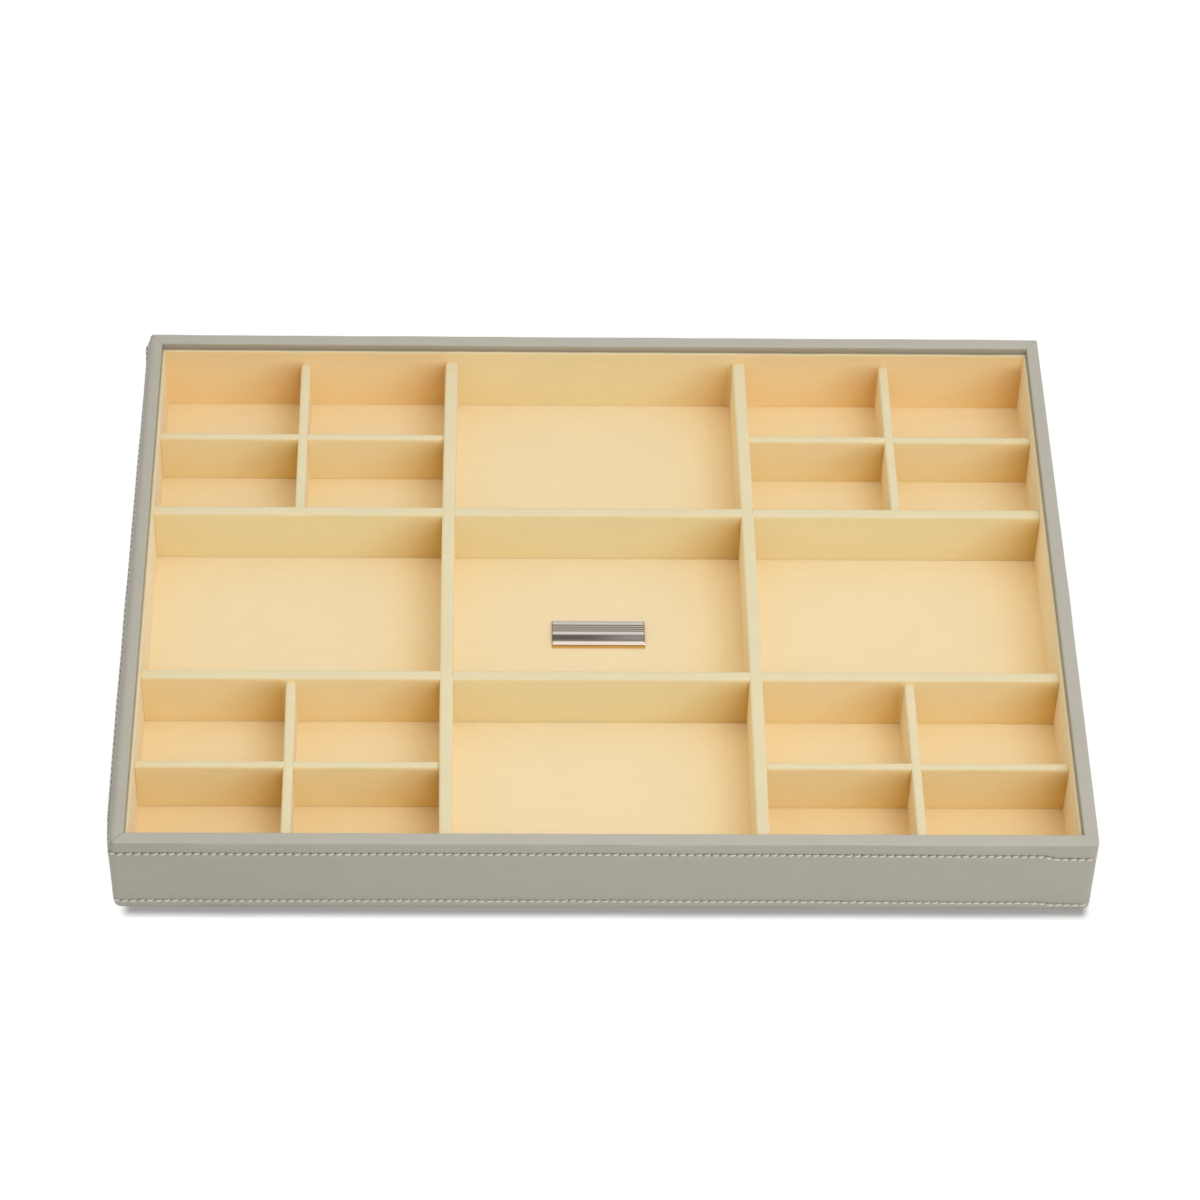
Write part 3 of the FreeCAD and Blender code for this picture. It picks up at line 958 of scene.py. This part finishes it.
# Painted light and shade on the floor: warm bounce tones in the corner cells, behind the front rim and at
# the right end of each cell; painted shade behind the front rim; painted shade in front of each wall and in
# a line at its foot.
corner_glow, front_glow = 0.35, 0.6
front_shade, row_end_shade = 0.09, 0.10         # in the cells behind the front rim
foot_dim, foot_dim_loss = 0.055, 0.035          # in front of a wall, and what it loses towards the back
line_dim, line_dim_loss = 0.28, 0.2             # in the line right at the wall
line_power = 30


def floor_sheet():
    """A level sheet that sinks a little here and there: a product of slow waves along and across.

    A painted shadow darkens a line along the front of the plate. The cells carry painted bounce light and
    painted shade.
    """
    low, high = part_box("floor_suede")
    plate_low, plate_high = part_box("nameplate")
    columns = np.concatenate([edged(low.x, high.x, floor_columns),
                              plate_low.x + plate_lines, plate_high.x - plate_lines])
    beside_walls = (corner_row_walls[:, None] - wall_lines).ravel()
    rows = np.concatenate([edged(low.y, high.y, floor_rows), plate_low.y + plate_lines, beside_walls])
    y, x = np.meshgrid(np.sort(rows), np.sort(columns), indexing="ij")
    across, along = (y - low.y) / (high.y - low.y), (x - low.x) / (high.x - low.x)
    waver = ripple(along, (5, 8, 13), seed=21) * ripple(across, (4, 7, 11), seed=22)
    z = floor_top - floor_waver * np.abs(waver)

    in_corner = (np.abs(x) > main_x) & (np.abs(y) > main_y)
    behind_front_rim = in_corner & (y < front_thin_y)
    row_end = np.where(np.abs(y) < main_y, near_next(x, middle_row_walls, row_end_width),
                       near_next(x, outer_row_walls, row_end_width))
    wall_foot = np.where(np.abs(x) > main_x, near_next(y, corner_row_walls, wall_foot_width),
                         near_next(y, main_row_walls, wall_foot_width))
    before_plate = plate_low.y - y
    plate_shadow = (ease(np.abs(x), plate_high.x + 0.4 * mm, plate_high.x)
               * ease(before_plate, 2.0 * mm, 0.9 * mm) * (before_plate > -0.1 * mm))
    tones = {"painted_bounce": np.maximum(np.where(behind_front_rim, front_glow, corner_glow * in_corner), row_end),
             "shade": np.maximum(plate_shadow, (front_shade + row_end_shade * row_end) * behind_front_rim),
             "painted_darkening": ((foot_dim - foot_dim_loss * across) * wall_foot ** 2
                     + (line_dim - line_dim_loss * across) * wall_foot ** line_power)}
    return put_suede("floor_suede", np.stack([x, y, z], axis=-1), suede_floor, tones)


floor_sheet()
print("floor sheet at", round(floor_top / mm, 2), "mm")

# %% Wall linings
lining_edge = 0.45 * mm         # rounding of the fold over the card
foot_gap = 0.02 * mm            # the sheet draws back this far where it meets the floor
tuck = 0.08 * mm                # and is pressed this far into the floor and into the next wall
sheet_step = 2.5 * mm           # between the columns of a sheet
lining_rise = np.array([0.0, 0.05, 0.5, 1.5, 4, 8, 12, 16, 20, 24, 26.5]) * mm
lining_waver, lining_top_waver = 0.07 * mm, 0.10 * mm
# Painted light and shade on the linings: a warm bounce tone at the left one's foot, on the right one and on
# the back one, the right one darker overall, and on the back one painted shade at the right end of each cell
# and under the rim.
left_glow = 0.3                 # at the foot of the left lining
right_glow, right_dim = 0.8, 0.04
back_corner_glow, back_middle_glow = 0.9, 0.2
back_shade = 0.75
back_corner_dim, back_middle_dim = 0.055, 0.02          # at the top of the back lining
back_corner_shade_dim, back_middle_shade_dim = 0.25, 0.14       # for its shade
inward_directions = {"front": (0, 1), "back": (0, -1), "left": (1, 0), "right": (-1, 0)}


def lining_sheet(side, inwards, seed):
    """A wall's lining: up the inner face, round the fold, and over the card's top to the wall."""
    low, high = (np.array(corner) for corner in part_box(side + "_lining_suede"))
    axis = 0 if inwards[0] else 1
    along_axis = 1 - axis
    thickness = (high - low)[axis]
    top = high[2]
    rise = lining_rise + low[2]
    rise = rise[rise < top - lining_edge - 0.3 * mm]
    face = np.stack([np.full_like(rise, thickness), rise], axis=-1)
    face[0] -= (0 if side == "left" else foot_gap, tuck)
    fold = arc(thickness - lining_edge, top - lining_edge, lining_edge, 0, 90, 6)
    section = np.concatenate([face, fold, [(0.0, top)]])
    ends = (low[along_axis] - tuck * (axis == 0), high[along_axis] + tuck * (axis == 0))
    length = edged(*ends, round((ends[1] - ends[0]) / sheet_step))
    share = (length - length[0]) / (length[-1] - length[0])
    out, up = swept(section, length)
    height_share = np.clip((up - low[2]) / (top - low[2]), 0, 1)
    out = out - lining_waver * np.abs(ripple(share, (6, 11, 17), seed)) * np.sin(np.pi * height_share)
    up = up - lining_top_waver * np.abs(ripple(share, (3, 7, 12), seed + 1)) * height_share ** 4
    wall = low[axis] if inwards[axis] > 0 else high[axis]
    points = laid(along_axis, length, wall + inwards[axis] * out, up)

    below_top = (1 - height_share) * (top - low[2])
    tones = {"fold": np.clip(1 - below_top / lining_edge, 0, 1)}
    if side == "left":
        tones["painted_bounce"] = left_glow * (1 - height_share)
    if side == "right":
        tones["painted_bounce"] = right_glow
        tones["painted_darkening"] = right_dim
    if side == "back":
        in_corner = np.abs(length) > main_x
        divider_share = (up - low[2]) / (divider_top - low[2])
        tones["painted_bounce"] = np.where(in_corner, back_corner_glow, back_middle_glow)
        tones["shade"] = wall_shade(length, outer_row_walls, divider_share, back_shade)
        top_dim = ease(height_share, 0.5, 1.0) * np.where(in_corner, back_corner_dim, back_middle_dim)
        in_corner_dim = back_corner_shade_dim * np.clip(divider_share, 0, 1)
        shade_dim = tones["shade"] * np.where(in_corner, in_corner_dim, back_middle_shade_dim)
        tones["painted_darkening"] = top_dim + shade_dim
    material = suede_side if axis == 0 else suede_wall
    return put_suede(side + "_lining_suede", points, material, tones, turned=side in ("front", "right"))


for seed, (side, inwards) in enumerate(inward_directions.items()):
    lining_sheet(side, inwards, 30 + 2 * seed)

# %% [markdown]
# ## Dividers
# A divider is a stiff core in a suede wrap that is folded over its top. Two dividers cross in a half-lap:
# those from front to back run through at the top, and the others are slotted down to half their height. The
# wrap's section is an upside-down U, swept along the core. The slot is made by leaving squares out of the
# grid, so the grid has lines exactly at the slot's edges.

# %% Sizes of the wraps
divider_edge = 0.5 * mm
lap_clearance = 0.1 * mm
end_pinch, end_pinch_width = 0.08 * mm, 0.6 * mm        # how much narrower a wrap is at its very end
slot_pinch, slot_pinch_width = 0.26 * mm, 0.7 * mm      # and at the edges of a slot from above
pinch_drop = 0.6                # how much of that its top sinks
long_trim = 0.14 * mm           # the wraps from front to back are drawn this much tighter on each side
back_trim = 0.30 * mm           # and those from left to right on their back
back_edge = 1.1 * mm            # where they are rounder too
edge_lines = np.array([0.25, 0.6, 1.1, 1.8]) * mm       # grid lines beside ends and slots
line_grid = 0.05 * mm
side_puff, top_waver = 0.05 * mm, 0.06 * mm

# How far a wrap has been pushed across, in millimetres: at its start, its middle and its end
pushed = {"left_long_divider_wrap": (0.48, -0.10, 0.50),
          "right_long_divider_wrap": (-0.52, 0.05, -0.52),
          "front_left_thin_long_wrap": (0.42, 0.25, -0.10),
          "front_right_thin_long_wrap": (-0.40, -0.42, -0.48),
          "back_left_thin_long_wrap": (0.20, 0.15, 0.10),
          "back_right_thin_long_wrap": (0.0, -0.20, -0.24)}
print("pushed wraps:", len(pushed))

# %% Grid of a wrap
def wrap_lines(ends, edges):
    """Places along a wrap: even ones, and more beside its ends and its slots' edges, which are exact."""
    extra = [ends[0] + edge_lines, ends[1] - edge_lines]
    extra += [edge + (edge_lines if index % 2 else -edge_lines) for index, edge in enumerate(edges)]
    even = np.linspace(ends[0], ends[1], round((ends[1] - ends[0]) / sheet_step))
    length = np.unique(np.round(np.concatenate([even, edges, *extra]) / line_grid)) * line_grid
    exact = np.concatenate([ends, edges])
    nearest = np.abs(length[:, None] - exact).argmin(axis=0)
    length[nearest] = exact
    return length


def wrap_flank(rise, top, reach, radius):
    """Half of a wrap's section: up one side and round its edge."""
    side = np.stack([np.full_like(rise, reach), rise], axis=-1)
    side[0] -= (foot_gap, tuck)
    return np.concatenate([side, arc(reach - radius, top - radius, radius, 0, 90, 7)])


print("wrap lines:", round(sheet_step / mm, 2), "mm apart")

# %% Tones of a wrap
# Painted light and shade on the wraps: a warm bounce tone and darkening on the shaded side of those from
# front to back, and on those from left to right painted shade at the right end of each cell, a darker line
# at the foot and a warm bounce tone in the corner cells.
wrap_shade = 0.9
long_dim = 0.04                 # of the shaded side of a wrap from front to back
cross_glow = 0.5
foot_line_dim, foot_line_height = 0.08, 0.6 * mm
corner_shade_dim, middle_shade_dim = 0.25, 0.2          # for the shade, in the corner cells and elsewhere


def wrap_tones(name, axis, length, out, above_foot, height_share):
    """Painted light and shade of a wrap's sides. Its front or left side, where out is below 0, is in the
    shade.
    """
    shaded = out < 0
    if axis == 1:
        return {"painted_bounce": 1.0 * shaded, "painted_darkening": long_dim * shaded}
    faces_middle_row = name == "back_cross_divider_wrap"
    walls = middle_row_walls if faces_middle_row else outer_row_walls
    in_corner = (np.abs(length) > main_x) & (not faces_middle_row)
    shade = np.where(shaded, wall_shade(length, walls, height_share, wrap_shade), 0)
    shade_dim = shade * np.where(in_corner, corner_shade_dim * height_share, middle_shade_dim)
    foot_line = foot_line_dim * bell(above_foot, foot_line_height)
    return {"painted_bounce": cross_glow * in_corner, "shade": shade, "painted_darkening": foot_line + shade_dim}


print("wraps from left to right: shade up to", wrap_shade)

# %% Divider wraps
def wrap_sheet(name, axis, crossings, seed):
    """A wrap along an axis: up one side, over two rounded edges and down the other, less its slots.

    It bends along a parabola through its start, middle and end, and its sides waver.
    """
    low, high = (np.array(corner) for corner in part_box(name))
    slotted_from_top = axis == 0
    half = (high - low)[1 - axis] / 2 - (0 if slotted_from_top else long_trim)
    middle = (high + low)[1 - axis] / 2
    top = high[2]
    lap = (low[2] + top) / 2
    rise = np.concatenate([low[2] + np.array([0, 0.05, 0.5]) * mm,
                           np.linspace(low[2] + 2 * mm, lap - 2 * mm, 4),
                           [lap], np.linspace(lap + 2 * mm, top - 1.8 * mm, 5)])
    trim, far_radius = (back_trim, back_edge) if slotted_from_top else (0, divider_edge)
    section = np.concatenate([wrap_flank(rise, top, half - trim, far_radius),
                              wrap_flank(rise, top, half, divider_edge)[::-1] * (-1, 1)])
    slot_half = half + lap_clearance + (-long_trim if slotted_from_top else long_trim)
    edges = np.array([place + sign * slot_half for place in crossings for sign in (-1, 1)])
    ends = np.array([low[axis], high[axis]])
    length = wrap_lines(ends, edges)

    share = (length - ends[0]) / (ends[1] - ends[0])
    out, up = swept(section, length)
    height_share = np.clip((up - low[2]) / (top - low[2]), 0, 1)
    pinch = end_pinch * bell(np.minimum(length - ends[0], ends[1] - length), end_pinch_width)
    upper = np.ones_like(up)
    if slotted_from_top:
        from_slot = np.abs(length[:, None] - edges).min(axis=1)
        pinch = pinch + slot_pinch * bell(from_slot, slot_pinch_width)
        upper = np.clip((up - lap) / (1 * mm), 0, 1)
    radius = np.where(out > 0, far_radius, divider_edge)
    narrowed = np.where(out > 0, np.maximum(pinch - trim, 0), pinch)
    out = out - np.sign(out) * narrowed * upper * np.clip(np.abs(out) / half, 0, 1)
    up = up - pinch_drop * narrowed * (up > top - radius)
    start, centre, end = pushed.get(name, (0.0, 0.0, 0.0))
    bend = mm * (start * (1 - share) * (1 - 2 * share) + centre * 4 * share * (1 - share)
                 + end * share * (2 * share - 1))
    puff = side_puff * ripple(share, (9, 15, 22), seed + 1) * np.sin(np.pi * height_share)
    out = out + bend + np.sign(out) * puff
    up = up + top_waver * ripple(share, (4, 7, 13), seed + 2) * height_share ** 6

    centre_length = (length[1:] + length[:-1]) / 2
    centre_rise = (section[1:, 1] + section[:-1, 1]) / 2
    in_slot = (np.abs(centre_length[:, None] - np.array(crossings)) < slot_half).any(axis=1)
    cut_rise = centre_rise > lap if slotted_from_top else centre_rise < lap
    keep = ~(cut_rise[:, None] & in_slot[None, :])
    tones = wrap_tones(name, axis, length, out, up - low[2], height_share)
    tones["fold"] = np.clip((up - top + radius) / radius, 0, 1)
    if not slotted_from_top:
        tones["painted_darkening"] = tones["painted_darkening"] * (1 - tones["fold"])
    material = suede_divider if slotted_from_top else suede_side
    points = laid(axis, length, middle + out, up)
    return put_suede(name, points, material, tones, keep, turned=not slotted_from_top)


wraps = {side + "_long_divider_wrap": (1, (-main_y, main_y)) for side in ("left", "right")}
wraps.update({end + "_cross_divider_wrap": (0, (-main_x, main_x)) for end in ("front", "back")})
for corner in ("front_left", "front_right", "back_left", "back_right"):
    wraps[corner + "_thin_long_wrap"] = (1, (middle_of(corner + "_thin_long_wrap", 1),))
    crossing = middle_of(corner + "_thin_cross_wrap", 0) + pushed[corner + "_thin_long_wrap"][1] * mm
    wraps[corner + "_thin_cross_wrap"] = (0, (crossing,))
for seed, (name, (axis, crossings)) in enumerate(wraps.items()):
    wrap_sheet(name, axis, crossings, 50 + 3 * seed)
print("wraps:", len(wraps))

# %% [markdown]
# ## Plate
# A small polished plate lies in the middle cell, held by two pins through the floor. It has a border at the
# back, fine grooves, a smooth hollow band and a sloping front edge. Its section across is swept along
# its length, and the ends are drawn down to the bevel. The grooves are real, so they are seen from every
# side. Its reflections are painted: a dark hollow band, bright reed tops and a bright front edge come from
# an attribute.

# %% Section of the plate
plate_bevel = 0.3 * mm
plate_border = 1.5 * mm
reed_count = 4
reed_pitch = 0.95 * mm
reed_depth = 0.15 * mm
flat_band = 1.2 * mm
front_strip = 0.85 * mm
front_drop = 0.95 * mm          # fall of the front strip
front_line = 0.35 * mm          # width of the line behind it
# Painted reflection and highlight: how bright each part of the top looks.
border_shine = (0.45, 0.50)
reed_shine, reed_shine_loss = 0.66, 0.62        # on a reed's top, and what is lost down to the hollow
band_shine, band_shine_loss = 0.14, 0.10
band_edge_shine = 0.72
front_shine = (0.02, 0.9, 1.0)  # in the line, and at the strip's top and foot


def plate_top(width):
    """The plate's top from its back edge: place across, depth below the top, painted shine, and share of the
    band.

    The reeds are a cosine wave, the hollow band is half a sine, and the line and the front strip are
    straight. The painted shine is bright on the reeds' tops, the band's back edge and the front strip, and
    dark in the band and the line behind the strip.
    """
    reeds_start = plate_bevel + plate_border
    band_start = reeds_start + reed_count * reed_pitch + flat_band
    line_start = width - front_strip - front_line
    in_reeds = np.linspace(0, reed_count, reed_count * 8 + 1)
    wave = (1 - np.cos(2 * np.pi * in_reeds)) / 2
    in_band = np.linspace(0, 1, 9)
    band = np.sin(np.pi * in_band)
    place = np.concatenate([[0, plate_bevel], reeds_start + in_reeds * reed_pitch,
                            band_start + in_band * (line_start - band_start),
                            [line_start + front_line / 2, width - front_strip, width]])
    depth = np.concatenate([[plate_bevel, 0], reed_depth * wave, 0.5 * reed_depth * band,
                            [reed_depth, 0, front_drop]])
    painted_shine = np.concatenate([border_shine, reed_shine - reed_shine_loss * wave,
                            band_shine - band_shine_loss * band, front_shine])
    first_of_band = len(border_shine) + len(wave)
    painted_shine[first_of_band] = band_edge_shine
    smooth = np.concatenate([np.zeros(first_of_band), band, np.zeros(len(front_shine))])
    return place, depth, painted_shine, smooth


print("reeds:", reed_count, "at", round(reed_pitch / mm, 2), "mm")

# %% Plate
pin_radius = 0.6 * mm
pin_spacing = 24.0 * mm
pin_rise = 0.2 * mm             # how far a pin reaches into the plate
pin_sides = 12
# Painted reflection: the hollow band grows brighter towards the right; the underside and the pins take a
# fixed painted shine.
band_sheen = 0.22               # what the hollow band gains towards the right
below_shine, pin_shine = 0.3, 0.4


def plate_mesh():
    """The section of plate_top, closed below, swept along X. The bevel's slope cuts it off at each end."""
    low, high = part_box("nameplate")
    half_plate = (high.x - low.x) / 2
    place, depth, painted_shine, smooth = plate_top(high.y - low.y)
    x = np.concatenate([[-half_plate, -half_plate + plate_bevel],
                        np.linspace(-half_plate + 2 * plate_bevel, half_plate - 2 * plate_bevel, 13),
                        [half_plate - plate_bevel, half_plate]])
    from_end = half_plate - np.abs(x)
    top = np.minimum(high.z - depth[:, None], high.z - plate_bevel + from_end)
    y = np.concatenate([high.y - place, [low.y, high.y]])
    z = np.concatenate([top, np.full((2, len(x)), floor_top)])
    points = np.stack(np.broadcast_arrays(x[None, :], y[:, None], z), axis=-1)
    rows, columns = points.shape[:2]
    numbers = np.arange(rows * columns).reshape(rows, columns)
    faces = [grid_faces(rows, columns, close_rows=True)[:, ::-1],
             numbers[None, ::-1, 0], numbers[None, :, -1]]
    lit = painted_shine[:, None] + band_sheen * smooth[:, None] * ease(x, -6 * mm, 14 * mm)
    # The points at the very ends take half the painted shine: painted shade on the end bevels.
    lit = lit * np.where(from_end > 0, 1, 0.5)
    lit = np.concatenate([lit.ravel(), np.full(2 * columns, below_shine)])

    around = np.linspace(0, 2 * np.pi, pin_sides, endpoint=False)
    ring = pin_radius * np.stack([np.cos(around), np.sin(around)], axis=-1)
    points = points.reshape(-1, 3)
    for side in (-1, 1):
        centre = np.array([side * pin_spacing / 2, (low.y + high.y) / 2])
        pin = [np.column_stack([centre + ring, np.full(pin_sides, level)])
               for level in (low.z, floor_top + pin_rise)]
        rings = len(points) + np.arange(2 * pin_sides).reshape(2, -1)
        faces += [len(points) + grid_faces(2, pin_sides, close_columns=True), rings[:1, ::-1], rings[1:]]
        points = np.concatenate([points, *pin])
        lit = np.concatenate([lit, np.full(rings.size, pin_shine)])
    mesh = put_mesh("plate", points, faces)
    put_values(mesh, "painted_shine", lit)
    return mesh


plate = put_piece("plate", plate_mesh(), plate_metal, ["nameplate"])
plate.data.polygons.foreach_set("use_smooth", np.zeros(len(plate.data.polygons), bool))
print("plate:", len(plate.data.polygons), "faces")

# %% [markdown]
# ## Hidden pieces
# The boards, cards, cores, brads and felt keep their solids. Most are never seen, but a buyer of the part
# may take it apart, so each has its own finish.

# %% Hidden pieces
kept_finishes = {"_board": fibreboard, "_card": greyboard, "_core": greyboard, "base_filler": greyboard,
                 "corner_brads": steel, "base_felt": felt}
for name, node in nodes.items():
    for ending, material in kept_finishes.items():
        if name.endswith(ending):
            node.material_slots[0].material = material
print("kept solids:", sum(not node.hide_render for node in nodes.values()))

# %% [markdown]
# ## Sizes
# The dressed tray should hardly outgrow its solids, so how far each corner of its box has moved is printed.

# %% Sizes and finish
shown_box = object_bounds()
for end, word in enumerate(("low", "high")):
    moved = [round((shown_box[end][i] - cad_box[end][i]) / mm, 2) for i in range(3)]
    print("the", word, "corner is moved by", moved, "mm")
